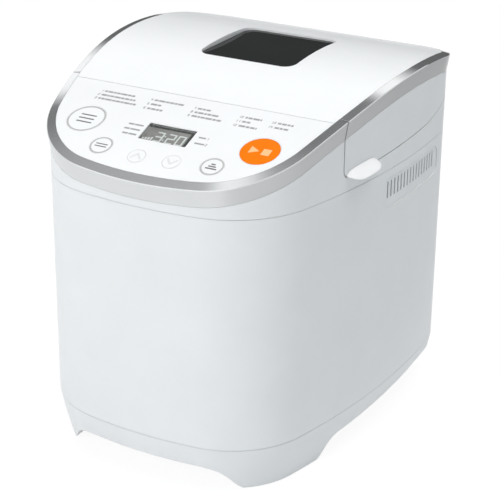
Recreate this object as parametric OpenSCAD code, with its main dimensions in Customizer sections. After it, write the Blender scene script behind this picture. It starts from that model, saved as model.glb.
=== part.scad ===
// Bread machine: a deep rounded housing on a skirted base, a control head at the front
// and a large hinged lid over the baking chamber behind it.
// +Z is up, -Y is the front with the controls, and the origin is under the centre of the body.

/* [Housing outline] */
// Widest width of the housing
body_w = 240; // [236:1:280]
// Depth of the housing, front to back
body_d = 282; // [278:1:320]
// How far the front face bows out
front_bulge = 25; // [20:1:32]
// How far each side bows out
side_bulge = 18; // [12:1:22]
// How far the back bows out
rear_bulge = 4; // [3:0.5:8]
// Corner radius at the front
front_corner_r = 67; // [56:1:76]
// Corner radius at the back
rear_corner_r = 44; // [38:1:52]
// Where the sides are widest, behind the middle
widest_y = 59; // [45:1:70]
// Wall of the plastic mouldings
wall = 2.5; // [2:0.1:3.2]

/* [Heights] */
// Top of the lid at its highest
body_h = 274.3; // [272:0.1:290]
// Top of the base
base_h = 35.4; // [34:0.1:40]
// Joint between the body shell and the top housing
housing_seam_z = 208.7; // [206:0.1:211]
// Where the lid is highest
arch_peak_y = 47; // [40:1:55]
// Radius of the arch behind the join
rear_arch_r = 342; // [320:1:380]
// Radius of the arch over the control head
front_arch_r = 526; // [480:1:600]
// Where the two arcs of the arch meet
arch_join_y = -16; // [-30:1:0]

/* [Silver trim] */
// Height of the silver band
band_h = 13.2; // [10:0.1:14]
// How far the band's top edge stands proud of the body
band_flare = 2; // [0:0.1:3]
// Width of the bevel above the band
bevel_w = 4.4; // [3.6:0.1:5.2]
// Height that the bevel rises
bevel_rise = 0.9; // [0.6:0.1:2]
// Thickness of the band
trim_wall = 2.4; // [2:0.1:3]

/* [Lid] */
// Middle of the gap between the control head and the lid, at the sides
lid_front_y = -50.1; // [-54:0.1:-47]
// Width of that gap
lid_gap = 1; // [0.9:0.1:1.4]
// Middle of the seam between the control panel and the lid's top panel
panel_seam_y = -55.5; // [-59:0.1:-54]
// Width of that seam
panel_seam = 0.6; // [0.5:0.1:1]
// Height of the lid's lower edge at its front corner
lid_edge_z = 218.2; // [217:0.1:221]
// Rise of the lid's lower edge for each millimetre to the rear
lid_edge_slope = 0.055; // [0.03:0.005:0.07]
// Radius of the lid's lower front corners
lid_corner_r = 5; // [3:0.5:8]
// Where the lower edge starts to sweep up
sweep_y = 60; // [50:1:70]
// Radius of that sweep
sweep_r = 150; // [120:5:220]
// Gap between the lid's lower edge and the housing
lid_edge_gap = 0.7; // [0.6:0.1:1]
// Distance of the hinge axis from the rear face
hinge_setback = 14; // [13:0.5:15]
// Height of the hinge axis
hinge_z = 229; // [227:0.5:231]
// Radius of the housing's rounded shoulder about the hinge axis
shoulder_r = 18; // [17:0.5:19]
// Radius of the hinge pins
hinge_pin_r = 2.5; // [2:0.1:3]
// Distance of each hinge arm from the middle
hinge_arm_x = 72; // [60:1:80]
// Width of a hinge arm
hinge_arm_w = 14; // [10:1:18]
// Length of the finger tab
tab_len = 35; // [34:1:48]
// How far the tab stands out from the lid's side
tab_reach = 8; // [6:0.5:9]
// How far the tab hangs below the lid's lower edge
tab_drop = 3; // [2:0.5:5]
// Width of the lid's window
window_w = 78; // [66:1:88]
// Depth of the lid's window
window_d = 79; // [66:1:82]
// Corner radius of the window
window_r = 9; // [6:1:16]
// Middle of the window
window_y = 44.5; // [40:0.5:48]
// Top of the window glass
glass_z = 270.9; // [269:0.1:271]

/* [Baking chamber] */
// Inside width of the chamber
chamber_w = 184; // [178:1:190]
// Inside depth of the chamber
chamber_d = 144; // [140:1:146]
// Inside corner radius of the chamber
chamber_r = 18; // [12:1:24]
// Middle of the chamber, where the kneading shaft turns
chamber_y = 32; // [30:0.5:33]
// Height of the chamber's floor
chamber_floor_z = 62; // [60:0.5:66]
// Thickness of the chamber's steel sheet
sheet = 0.8; // [0.6:0.1:1.2]

/* [Bread pan] */
// Outside length of the pan
pan_w = 146; // [136:1:150]
// Outside width of the pan
pan_d = 110; // [100:1:112]
// Corner radius of the pan
pan_r = 24; // [18:1:30]
// Height of the pan's floor above the chamber's floor
pan_floor_h = 20; // [19:0.5:22]
// Height of the pan's wall
pan_h = 108; // [96:1:110]
// Wall of the pan
pan_wall = 1.6; // [1.2:0.1:2]
// Length of the bail's arms
bail_arm = 50; // [44:1:50]
// Radius of the bail's wire
bail_wire_r = 2; // [1.5:0.1:2.2]
// Height that the pan lifts under the closed lid
pan_lift = 12; // [8:1:12]

/* [Drive] */
// Radius of the kneading shaft and the drive shaft
shaft_r = 4; // [3:0.1:4.5]
// Radius of the large pulley
drive_pulley_r = 46; // [40:1:50]
// Radius of the motor's pulley
motor_pulley_r = 9; // [8:0.5:12]
// Width of the belt
belt_w = 10; // [8:0.5:11]
// Radius of the motor
motor_r = 37; // [32:1:38]
// Height of the motor
motor_h = 50; // [40:1:60]
// Distance from the motor's axis to the front face
motor_setback = 49; // [47:1:52]

/* [Controls] */
// Radius of the menu key
menu_key_r = 14; // [12:0.1:15]
// Radius of the start and stop key
start_key_r = 13.8; // [12:0.1:15]
// Radius of the crust and weight keys
side_key_r = 8.2; // [7:0.1:9]
// Radius of the two time keys
time_key_r = 6.2; // [5:0.1:7]
// Travel of a key
key_travel = 0.8; // [0.5:0.1:1]
// Width of the display
display_w = 37.5; // [32:0.5:42]
// Depth of the display
display_d = 18; // [15:0.5:20]

/* [Vents] */
// Number of slots in each side grille
vent_count = 16; // [10:1:18]
// Distance from one slot to the next
vent_pitch = 5.1; // [4:0.1:5.2]
// Width of a slot
vent_slot_w = 2; // [1.4:0.1:2.6]
// Height of a slot
vent_slot_h = 12.6; // [8:0.1:15]
// Front edge of the grille's recess
vent_y = 1; // [-4:1:6]

/* [Base] */
// How far the skirt draws in from the seam to the floor
skirt_inset = 8.1; // [6:0.1:12]
// Height of the skirt's arch between the front feet
skirt_arch_h = 18.5; // [14:0.5:20]
// Radius of a rubber foot
foot_r = 7; // [5:0.5:7.5]
// Radius of the mains lead's way through the gland
gland_bore_r = 3.8; // [3:0.1:4.5]

/* [Hidden] */
$fn = 64;

// Clearances
seat_gap = 0.2;
pin_gap = 0.05;
join = 0.1;

// Colours
body_white = [0.91, 0.925, 0.93];
gloss_white = [0.97, 0.975, 0.98];
silver = [0.67, 0.69, 0.7];
print_grey = [0.45, 0.46, 0.47];
start_orange = [0.96, 0.52, 0.1];
steel = [0.66, 0.67, 0.68];
dark_steel = [0.32, 0.32, 0.33];
aluminium = [0.75, 0.76, 0.77];
pan_grey = [0.24, 0.24, 0.25];
brass = [0.8, 0.62, 0.28];
board_green = [0.1, 0.38, 0.2];
rubber_black = [0.07, 0.07, 0.07];
plastic_black = [0.13, 0.13, 0.14];
glass_dark = [0.12, 0.13, 0.13, 0.85];
copper = [0.72, 0.42, 0.22];
ceramic = [0.9, 0.88, 0.82];

// ---- Outline of the housing in plan: five tangent arcs on each side ----
half_w = body_w/2;
half_d = body_d/2;
function bow_r(half_chord, rise) = (half_chord*half_chord + rise*rise)/(2*rise);
front_r = bow_r(half_w, front_bulge);
side_r = bow_r(half_d, side_bulge);
rear_r = bow_r(half_w, rear_bulge);
front_c = [0, front_r - half_d];
side_c = [half_w - side_r, widest_y];
rear_c = [0, half_d - rear_r];
function unit(v) = v/norm(v);
function angle_of(v) = atan2(v[1], v[0]);
// The point at distance da from a and db from b, to the left of a-b for turn 1
function meet(a, b, da, db, turn) =
    let (d = norm(b - a), u = (b - a)/d, t = (da*da - db*db + d*d)/(2*d))
    a + u*t + turn*sqrt(da*da - t*t)*[-u[1], u[0]];
front_corner_c = meet(front_c, side_c, front_r - front_corner_r, side_r - front_corner_r, 1);
rear_corner_c = meet(rear_c, side_c, rear_r - rear_corner_r, side_r - rear_corner_r, -1);
front_end = angle_of(front_corner_c - front_c);
side_start = angle_of(front_corner_c - side_c);
side_end = angle_of(rear_corner_c - side_c);
rear_start = angle_of(rear_corner_c - rear_c);
plan_reach = 3*body_w;

module corner_cut(c, a, b) {
    ua = unit(c - a);
    ub = unit(c - b);
    reach = half_w;
    polygon([c, c + ua*reach, c + unit(ua + ub)*reach*1.5, c + ub*reach]);
}

// The corner arcs stand out by this much, so that they cross the long arcs cleanly
corner_lap = 0.02;

// The outline, drawn in from the outer face by inset
module outline(inset) {
    difference() {
        intersection() {
            translate(front_c) circle(r = front_r - inset, $fn = 360);
            translate(rear_c) circle(r = rear_r - inset, $fn = 720);
            translate(side_c) circle(r = side_r - inset, $fn = 720);
            translate([-side_c[0], side_c[1]]) circle(r = side_r - inset, $fn = 720);
        }
        for (m = [0, 1]) mirror([m, 0]) {
            corner_cut(front_corner_c, front_c, side_c);
            corner_cut(rear_corner_c, rear_c, side_c);
        }
    }
    for (m = [0, 1]) mirror([m, 0]) {
        translate(front_corner_c) circle(r = front_corner_r + corner_lap - inset, $fn = 96);
        translate(rear_corner_c) circle(r = rear_corner_r + corner_lap - inset, $fn = 96);
    }
}

module block(inset, z0, z1) {
    translate([0, 0, z0]) linear_extrude(z1 - z0) outline(inset);
}

// The same outline as points: the arc under a normal angle, then the point on it
function arc_at(a) = a < front_end ? [front_c, front_r]
    : a < side_start ? [front_corner_c, front_corner_r]
    : a < side_end ? [side_c, side_r]
    : a < rear_start ? [rear_corner_c, rear_corner_r] : [rear_c, rear_r];
function right_point(a, inset) = let (k = arc_at(a)) k[0] + (k[1] - inset)*[cos(a), sin(a)];
function flip_x(p) = [-p[0], p[1]];
function rim_point(a, inset) = a > 90 ? flip_x(right_point(180 - a, inset))
    : a < -90 ? flip_x(right_point(-180 - a, inset)) : right_point(a, inset);
function span(a, b, n) = [for (i = [0:n - 1]) a + (b - a)*i/n];
function right_side(n) = concat(span(-90, front_end, 5), span(front_end, side_start, 18),
    span(side_start, side_end, n), span(side_end, rear_start, 16), span(rear_start, 90, 3));
right_angles = right_side(26);
skirt_right = right_side(10);
skirt_angles = concat(skirt_right, [90],
    [for (i = [len(skirt_right) - 1:-1:1]) 180 - skirt_right[i]]);
// Normal angle at which a side, drawn in by inset, crosses the plane y
function side_angle(y, inset) = asin((y - widest_y)/(side_r - inset));

// A closed solid through rings of points, all with the same number of points
module loft(rings) {
    n = len(rings[0]);
    m = len(rings);
    polyhedron(points = [for (r = rings) each r], faces = concat(
        [[for (i = [0:n - 1]) i]],
        [[for (i = [n - 1:-1:0]) (m - 1)*n + i]],
        [for (k = [0:m - 2]) for (i = [0:n - 1])
            [k*n + (i + 1)%n, k*n + i, (k + 1)*n + i, (k + 1)*n + (i + 1)%n]]),
        convexity = 10);
}

// ---- Arch of the top, seen from the side: two tangent arcs ----
rear_arch_c = [arch_peak_y, body_h - rear_arch_r];
arch_join = [arch_join_y,
    rear_arch_c[1] + sqrt(pow(rear_arch_r, 2) - pow(arch_join_y - arch_peak_y, 2))];
front_arch_c = arch_join + unit(rear_arch_c - arch_join)*front_arch_r;
function arch_z(y) = let (front = y < arch_join_y,
    c = front ? front_arch_c : rear_arch_c, r = front ? front_arch_r : rear_arch_r)
    c[1] + sqrt(r*r - pow(y - c[0], 2));
arch_steps = 44;
arch_reach = half_d + 10;

// Side profiles are drawn with y to the right and z up, and reach across the whole width
module across(w = plan_reach) {
    translate([-w/2, 0, 0]) rotate([90, 0, 90]) linear_extrude(w) children();
}

// Everything under the arch lowered by drop, from y0 to y1
module arch(drop, y0 = -arch_reach, y1 = arch_reach) {
    polygon([[y1, 0], [y0, 0],
        for (i = [0:arch_steps]) let (y = y0 + (y1 - y0)*i/arch_steps) [y, arch_z(y) - drop]]);
}

// ---- Levels that several pieces share ----
panel_t = 2.6;
lid_panel_t = 2.4;
deck_drop = panel_t + seat_gap;
deck_t = 2.1;
band_drop = bevel_rise + band_h;
step_drop = bevel_rise + 3.9;
step_inset = trim_wall + seat_gap;
plate_inset = bevel_w + 0.15;
head_y = lid_front_y - lid_gap/2;
lid_y = lid_front_y + lid_gap/2;
hinge_y = half_d - hinge_setback;
shoulder_y = hinge_y - shoulder_r;
deck_z = housing_seam_z + 0.8;
housing_deck_t = 2.5;
collar_h = 4.5;
collar_t = 2.2;
collar_top = deck_z + housing_deck_t + collar_h;
liner_z = collar_top + 1.1;
liner_t = 1.2;

// Rounded rectangle about the origin
module round_rect(w, d, r) {
    square([w - 2*r, d], center = true);
    square([w, d - 2*r], center = true);
    for (x = [-1, 1], y = [-1, 1]) translate([x*(w/2 - r), y*(d/2 - r)]) circle(r = r);
}

module round_block(w, d, r, z0, z1, at = [0, 0]) {
    translate([at[0], at[1], z0]) linear_extrude(z1 - z0) round_rect(w, d, r);
}

// ---- Dividing line between the top housing and the lid, seen from the side ----
function edge_z(y) = lid_edge_z + lid_edge_slope*(y - lid_front_y)
    + (y > sweep_y ? pow(y - sweep_y, 2)/(2*sweep_r) : 0);
edge_steps = 10;
edge_end_y = shoulder_y + 1.5;
shoulder_steps = 36;

module shoulder_disc(r) {
    polygon([for (i = [0:shoulder_steps - 1]) let (a = 360*i/shoulder_steps)
        [hinge_y, hinge_z] + r*[cos(a), sin(a)]]);
}

// The housing's hollow corner round the lid's lower front corner; gap is as in housing_side
corner_steps = 7;
module corner_fill(gap) {
    c = [lid_y + lid_corner_r, edge_z(lid_y + lid_corner_r) + lid_edge_gap + lid_corner_r];
    ry = lid_corner_r + lid_gap*(1 - gap/lid_edge_gap);
    rz = lid_corner_r + lid_edge_gap - gap;
    low = c[1] - rz - 1;
    polygon(concat([[head_y - 1, low], [c[0], low]], [for (i = [0:corner_steps])
        let (a = 270 - 90*i/corner_steps) c + [ry*cos(a), rz*sin(a)]], [[head_y - 1, c[1]]]));
}

module housing_side(gap, y0) {
    corner_fill(gap);
    polygon([[y0, 0], [y0, edge_z(y0) + gap],
        for (i = [0:edge_steps]) let (y = sweep_y + (edge_end_y - sweep_y)*i/edge_steps)
            [y, edge_z(y) + gap],
        [edge_end_y, hinge_z], [arch_reach, hinge_z - shoulder_r/2],
        [arch_reach, 0]]);
    shoulder_disc(shoulder_r + gap);
}

// ================= Base =================
floor_z = 24.6;
floor_t = 2.5;
floor_top = floor_z + floor_t;
board_x = 62;
board_w = 66;
board_y = -84;
board_z = 44;
foot_lift = 0.8;
rear_foot = [66, half_d - 40];
front_foot = [front_corner_c[0] + 44, front_corner_c[1] - 15];
front_arch_edge = [[46, 0], [53, 1.2], [58, 3], [62, 6], [65.5, 10.5], [68.5, 15], [71.5, 17.8]];
side_arch_edge = [[75, -7], [43, -4.7], [6, -2.2], [-23, 0.2], [-41, 1.2], [-47, 3.5], [-51, 6.8],
    [-53.5, 11], [-56, 15.4], [-58.5, 17.8]];

front_arch_end = front_arch_edge[len(front_arch_edge) - 1][0] + 1;
side_arch_end = side_arch_edge[len(side_arch_edge) - 1][0] - 1;

function skirt_in(z) = skirt_inset*pow((base_h - z)/base_h, 1.15);
module skirt_block(extra, z0, z1) {
    loft([for (k = [0:3]) let (z = z0 + (z1 - z0)*k/3)
        [for (a = skirt_angles) let (p = rim_point(a, skirt_in(min(z, base_h)) + extra))
            [p[0], p[1], z]]]);
}

// The open arches between the feet, cut from front to back and from side to side
module skirt_arches() {
    below = -5;
    translate([0, plan_reach/2, 0]) rotate([90, 0, 0]) linear_extrude(plan_reach)
        polygon([[-front_arch_end, below], for (i = [len(front_arch_edge) - 1:-1:0])
            [-front_arch_edge[i][0], skirt_arch_h - front_arch_edge[i][1]],
            for (p = front_arch_edge) [p[0], skirt_arch_h - p[1]], [front_arch_end, below]]);
    across() polygon([[arch_reach, below], [arch_reach, skirt_arch_h - side_arch_edge[0][1]],
        for (p = side_arch_edge) [p[0], skirt_arch_h - p[1]], [side_arch_end, below]]);
}

module base() {
    color(body_white) {
        difference() {
            skirt_block(0, foot_lift, base_h);
            skirt_block(wall, floor_top, base_h + 1);
            difference() {
                skirt_block(wall, foot_lift - 1, floor_z);
                for (m = [0, 1]) mirror([m, 0, 0])
                    translate([56, -half_d, 0]) cube([70, 70, floor_z + 1]);
            }
            skirt_arches();
            for (m = [0, 1]) mirror([m, 0, 0]) {
                translate([front_foot[0], front_foot[1], -1])
                    cylinder(r = foot_r + pin_gap, h = 1 + foot_lift + 2);
            }
            for (x = [-5:5]) translate([x*9, -58, floor_z - 1]) cube([3, 30, floor_t + 2]);
            for (p = concat(motor_posts, bracket_posts)) translate([p[0], p[1], floor_z - 1])
                cylinder(r = screw_shank_r + 0.2, h = floor_t + 2);
        }
        for (m = [0, 1]) mirror([m, 0, 0]) {
            translate([rear_foot[0], rear_foot[1], foot_lift + 2])
                cylinder(r = foot_r + 3, h = floor_top - foot_lift - 3);
            translate([board_x - 3.5, 0, floor_top - join]) {
                translate([0, board_y - board_w/2 - 3, 0]) cube([7, 2.8, board_z - floor_top]);
                translate([0, board_y + board_w/2 + 0.2, 0]) cube([7, 2.8, board_z - floor_top]);
            }
        }
    }
}

module foot_pads() {
    color(rubber_black) for (m = [0, 1]) mirror([m, 0, 0]) {
        translate([front_foot[0], front_foot[1], 0]) cylinder(r = foot_r, h = foot_lift + 2 - join);
        translate([rear_foot[0], rear_foot[1], 0]) cylinder(r = foot_r, h = foot_lift + 2 - join);
    }
}

// Screws up through the floor into the bearing bracket's and the motor bracket's posts
post_r = 4;
screw_shank_r = 1.2;
module base_screws() {
    color(steel) for (p = concat(motor_posts, bracket_posts)) translate([p[0], p[1], 0]) {
        translate([0, 0, floor_z - 2.2]) cylinder(r = 3.2, h = 2);
        translate([0, 0, floor_z - 0.3]) cylinder(r = screw_shank_r, h = floor_t + 8);
    }
}

// ================= Body shell =================
vent_z = 179;
vent_recess_h = 23;
vent_recess_t = 0.8;
vent_recess_r = 9.5;
vent_slot_z = 186.4;
vent_len = vent_pitch*vent_count + 12;

module vent_recess_area() {
    translate([half_w - 8, vent_y, vent_z]) rotate([90, 0, 90]) linear_extrude(20)
        translate([vent_len/2, vent_recess_h/2]) round_rect(vent_len, vent_recess_h, vent_recess_r);
}

module side_vents() {
    difference() {
        vent_recess_area();
        block(vent_recess_t, vent_z - 5, vent_z + vent_recess_h + 5);
    }
    for (i = [0:vent_count - 1])
        translate([half_w - 12, vent_y + 6 + i*vent_pitch, vent_slot_z])
            cube([24, vent_slot_w, vent_slot_h]);
}

gland_x = -56;
gland_z = 56;
gland_r = 7;
gland_hole = 2*gland_r + 0.2;

module body_shell() {
    top = housing_seam_z - seat_gap;
    color(body_white) difference() {
        block(0, base_h + seat_gap, top);
        block(wall, base_h - 1, top + 1);
        for (m = [0, 1]) mirror([m, 0, 0]) side_vents();
        translate([gland_x - gland_hole/2, half_d/2, gland_z - gland_hole/2])
            cube([gland_hole, half_d, gland_hole]);
    }
}

// Rubber gland for the mains lead: its square neck is held in the back wall between two flanges
gland_flange = 2;
gland_flange_r = 11;
gland_inner = 6;
gland_gap = 0.5;
function rear_face_y(x) = rear_c[1] + sqrt(rear_r*rear_r - x*x);
gland_wall_y = rear_face_y(gland_x);
gland_len = gland_inner + wall + gland_gap + gland_flange;
module cord_gland() {
    y0 = gland_wall_y - wall - gland_inner;
    color(rubber_black) translate([gland_x, y0, gland_z]) rotate([-90, 0, 0]) difference() {
        union() {
            translate([-gland_r, -gland_r, 0]) cube([2*gland_r, 2*gland_r, gland_len]);
            cylinder(r = gland_flange_r, h = gland_inner - gland_gap);
            translate([0, 0, wall + gland_inner + gland_gap])
                cylinder(r = gland_flange_r, h = gland_flange);
        }
        translate([0, 0, -1]) cylinder(r = gland_bore_r, h = gland_len + 2);
    }
}

// ================= Top housing =================
chamber_open_w = chamber_w + 1;
chamber_open_d = chamber_d + 1;
slot_gap = 1;
cheek_t = 3;
cheek_r = shoulder_r - 1;

module head_profile(drop, back = 0) {
    arch(drop, -arch_reach, head_y - back);
}

module head_solid() {
    intersection() {
        block(0, housing_seam_z, body_h);
        across() head_profile(band_drop + seat_gap);
    }
    intersection() {
        block(step_inset, housing_seam_z, body_h);
        across() head_profile(step_drop);
    }
    intersection() {
        block(plate_inset + join, housing_seam_z, body_h);
        across() head_profile(deck_drop);
    }
}

module head_hollow() {
    intersection() {
        block(wall, housing_seam_z - 1, body_h);
        across() head_profile(band_drop + wall, wall);
    }
    intersection() {
        block(step_inset + wall, housing_seam_z - 1, body_h);
        across() head_profile(deck_drop + deck_t, wall);
    }
}

module housing_walls() {
    intersection() {
        difference() {
            block(0, housing_seam_z, body_h);
            block(wall, housing_seam_z - 1, body_h + 1);
        }
        across() difference() {
            housing_side(0, head_y - 1);
            translate([-arch_reach, 0]) square([arch_reach + head_y - 0.5, body_h]);
        }
    }
}

module housing_deck() {
    difference() {
        block(wall - join, deck_z, deck_z + housing_deck_t);
        translate([-plan_reach/2, -half_d, 0]) cube([plan_reach, half_d + head_y - 1, body_h]);
        round_block(chamber_open_w, chamber_open_d, chamber_r, 0, body_h, [0, chamber_y]);
    }
    difference() {
        round_block(chamber_open_w + 2*collar_t, chamber_open_d + 2*collar_t,
            chamber_r + collar_t, deck_z, collar_top, [0, chamber_y]);
        round_block(chamber_open_w, chamber_open_d, chamber_r, 0, body_h, [0, chamber_y]);
    }
}

// Rounded shoulder that hides the hinge, with cheeks on both sides of each hinge arm
module shoulder_profile(r) {
    shoulder_disc(r);
    translate([hinge_y - r, deck_z + 1]) square([arch_reach - hinge_y + r, hinge_z - deck_z - 1]);
}

module shoulder() {
    intersection() {
        block(wall - join, deck_z, body_h);
        across() difference() {
            shoulder_profile(shoulder_r);
            shoulder_profile(shoulder_r - wall);
        }
    }
    intersection() {
        block(wall - join, deck_z, body_h);
        for (m = [-1, 1], s = [-1, 1])
            translate([m*hinge_arm_x + s*(hinge_arm_w/2 + slot_gap + cheek_t/2), 0, 0])
                across(cheek_t) shoulder_profile(cheek_r);
    }
}

module hinge_slots() {
    for (m = [-1, 1]) translate([m*hinge_arm_x, 0, 0]) {
        translate([-hinge_arm_w/2 - slot_gap, hinge_y - hinge_arm_r - 1, hinge_z - hinge_arm_r - 1])
            cube([hinge_arm_w + 2*slot_gap, half_d, body_h - hinge_z]);
        translate([-hinge_pin_len/2 - 1, hinge_y, hinge_z]) rotate([0, 90, 0])
            cylinder(r = hinge_pin_r + pin_gap, h = hinge_pin_len + 2);
    }
}

key_hole_gap = 0.35;
key_flange = 1.4;

module top_housing() {
    lip_z0 = housing_seam_z - 5;
    color(body_white) difference() {
        union() {
            difference() {
                head_solid();
                head_hollow();
            }
            housing_walls();
            housing_deck();
            shoulder();
            difference() {
                block(wall + seat_gap, lip_z0, deck_z + 1);
                block(wall + seat_gap + 2, lip_z0 - 1, deck_z + 2);
            }
        }
        hinge_slots();
        for (k = KEYS) on_panel(k[0]) translate([0, 0, -12])
            cylinder(r = k[1] + key_flange + 1, h = 20);
        on_panel(display_at) translate([0, 0, -12])
            round_block(display_w + 8, display_d + 8, 2, 0, 20);
    }
}

module hinge_pins() {
    color(steel) for (m = [-1, 1])
        translate([m*hinge_arm_x - hinge_pin_len/2, hinge_y, hinge_z]) rotate([0, 90, 0])
            cylinder(r = hinge_pin_r, h = hinge_pin_len);
}

// ================= Silver trim =================
// Section of the trim: how far in from the outer face, and how far under the arch
trim_section = [[0, band_drop], [-band_flare, bevel_rise + 0.5], [0.4 - band_flare, bevel_rise],
    [bevel_w, 0], [bevel_w, panel_t], [trim_wall, step_drop - seat_gap], [trim_wall, band_drop]];

module trim(stations, first_y, last_side, first_side) {
    n = len(stations);
    loft([for (k = [0:n - 1]) [for (s = trim_section) let (
        end = side_angle(first_y, s[0]),
        a = k == 0 ? (first_side > 0 ? end : -180 - end)
            : k == n - 1 ? (last_side > 0 ? end : 180 - end) : stations[k],
        p = rim_point(a, s[0])) [p[0], p[1], arch_z(p[1]) - s[1]]]]);
}

front_cut = side_angle(head_y, 0);
lid_cut = side_angle(lid_y, 0);
front_half = [for (a = right_angles) if (a < front_cut - 1) a];
rear_half = [for (a = right_angles) if (a > lid_cut + 1) a];

module front_trim() {
    stations = concat([0], [for (i = [len(front_half) - 1:-1:1]) -180 - front_half[i]],
        front_half, [0]);
    color(silver) trim(stations, head_y, 1, -1);
}

module lid_trim() {
    stations = concat([0], rear_half, [90],
        [for (i = [len(rear_half) - 1:-1:0]) 180 - rear_half[i]], [0]);
    color(silver) trim(stations, lid_y, -1, 1);
}

// ================= Control panel =================
panel_mid_y = -106;
panel_tilt = asin((front_arch_c[0] - panel_mid_y)/front_arch_r);
menu_at = [53 - half_w, -98];
crust_at = [-40.5, -119.5];
time_up_at = [-10, -122.5];
time_down_at = [16.5, -121.5];
weight_at = [46, -118.5];
start_at = [half_w - 50, -97];
display_at = [-0.5, -98.4];
KEYS = [[menu_at, menu_key_r], [crust_at, side_key_r], [time_up_at, time_key_r],
    [time_down_at, time_key_r], [weight_at, side_key_r], [start_at, start_key_r]];

module on_panel(p) {
    translate([p[0], p[1], arch_z(p[1])]) rotate([panel_tilt, 0, 0]) children();
}

module control_panel() {
    color(gloss_white) difference() {
        intersection() {
            block(plate_inset, housing_seam_z, body_h + 1);
            across() difference() {
                arch(0, -arch_reach, panel_seam_y - panel_seam/2);
                arch(panel_t, -arch_reach, panel_seam_y - panel_seam/2 + 1);
            }
        }
        for (k = KEYS) on_panel(k[0]) translate([0, 0, -8])
            cylinder(r = k[1] + key_hole_gap, h = 16);
        on_panel(display_at) round_block(display_w, display_d, 1, -8, 8);
    }
}

// A key: its cap lies flush with the panel, and a flange under the panel holds it in
key_flange_z = panel_t/cos(panel_tilt) + 0.9;
key_flange_t = 1.2;
board_depth = 16;
switch_h = 5;
stem_end = board_depth - switch_h - key_travel - 0.4;

module panel_key(at, r) {
    intersection() {
        on_panel(at) translate([0, 0, -key_flange_z - 0.5]) cylinder(r = r, h = key_flange_z + 6);
        across() arch(0);
    }
    on_panel(at) {
        translate([0, 0, -key_flange_z - key_flange_t])
            cylinder(r = r + key_flange, h = key_flange_t);
        translate([0, 0, -stem_end]) cylinder(r = 2.4, h = stem_end - key_flange_z);
    }
}

module menu_key() { color(gloss_white) panel_key(menu_at, menu_key_r); }
module crust_key() { color(gloss_white) panel_key(crust_at, side_key_r); }
module time_up_key() { color(gloss_white) panel_key(time_up_at, time_key_r); }
module time_down_key() { color(gloss_white) panel_key(time_down_at, time_key_r); }
module weight_key() { color(gloss_white) panel_key(weight_at, side_key_r); }
module start_key() { color(start_orange) panel_key(start_at, start_key_r); }

module display_lens() {
    color([0.6, 0.64, 0.63, 0.6]) on_panel(display_at)
        round_block(display_w - 0.3, display_d - 0.3, 1, -2.2, -0.6);
}

module display_module() {
    color([0.62, 0.65, 0.63]) on_panel(display_at) {
        round_block(display_w + 5, display_d + 5, 1, -board_depth + seat_gap, -4.2);
        round_block(display_w - 2, display_d - 2, 0.5, -4.3, -2.4);
    }
}

board_len = 2*(start_at[0] + 10);
board_depth_y = 44;
board_mid_y = panel_mid_y + 3.5;
module panel_board() {
    color(board_green) on_panel([0, panel_mid_y]) translate([0, board_mid_y - panel_mid_y, 0])
        round_block(board_len, board_depth_y, 3, -board_depth - 1.6, -board_depth);
}

module tact_switches() {
    color(plastic_black) for (k = KEYS) on_panel([0, panel_mid_y]) {
        dy = (k[0][1] - panel_mid_y)/cos(panel_tilt);
        translate([k[0][0], dy, -board_depth + seat_gap/2]) {
            translate([-3, -3, 0]) cube([6, 6, 3.4]);
            cylinder(r = 1.7, h = switch_h - 1);
        }
    }
}

// ================= Lid =================
module lid_profile(drop, front = 0) {
    difference() {
        arch(drop, lid_y + front, arch_reach);
        housing_side(lid_edge_gap, -arch_reach);
    }
}

module lid_solid() {
    intersection() {
        block(0, deck_z, body_h);
        across() lid_profile(band_drop + seat_gap);
    }
    intersection() {
        block(step_inset, deck_z, body_h);
        across() lid_profile(step_drop);
    }
    intersection() {
        block(plate_inset + join, deck_z, body_h);
        across() lid_profile(lid_panel_t + join);
    }
}

module lid_hollow() {
    intersection() {
        block(wall, deck_z - 1, body_h);
        across() arch(band_drop + wall, lid_y + wall, arch_reach);
    }
    intersection() {
        block(step_inset + wall, deck_z - 1, body_h);
        across() arch(lid_panel_t + join + deck_t, lid_y + wall, arch_reach);
    }
}

glass_t = 2.8;
gasket_t = 0.8;
ledge_t = 1.6;
well_wall = 2.4;
ledge_w = 3.5;
ledge_z = glass_z - glass_t - gasket_t - seat_gap;
window_at = [0.5, window_y];

boss_x = chamber_w/2 + 10;
boss_r = 4;
boss_ys = [chamber_y - 48, chamber_y + 46];

module window_well() {
    difference() {
        intersection() {
            round_block(window_w + 2*well_wall, window_d + 2*well_wall, window_r + well_wall,
                ledge_z - ledge_t, body_h, window_at);
            across() arch(lid_panel_t + 3*join);
        }
        round_block(window_w - 2*ledge_w, window_d - 2*ledge_w, window_r - ledge_w,
            0, body_h, window_at);
        round_block(window_w, window_d, window_r, ledge_z, body_h + 1, window_at);
    }
}

module lid_shell() {
    color(body_white) {
        difference() {
            lid_solid();
            lid_hollow();
            round_block(window_w + well_wall, window_d + well_wall, window_r + well_wall/2,
                0, body_h + 1, window_at);
        }
        window_well();
        difference() {
            for (m = [-1, 1], y = boss_ys) translate([m*boss_x, y, liner_z + liner_t + seat_gap])
                cylinder(r = boss_r, h = arch_z(y) - lid_panel_t - 1.2 - liner_z - liner_t);
            for (m = [-1, 1], y = boss_ys) translate([m*boss_x, y, liner_z])
                cylinder(r = screw_r + pin_gap, h = 14);
        }
    }
}

module lid_panel() {
    color(gloss_white) difference() {
        intersection() {
            block(plate_inset, housing_seam_z, body_h + 1);
            across() difference() {
                arch(0, panel_seam_y + panel_seam/2, arch_reach);
                arch(lid_panel_t, panel_seam_y + panel_seam/2 - 1, arch_reach);
            }
        }
        round_block(window_w, window_d, window_r, 0, body_h + 1, window_at);
    }
}

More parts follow.
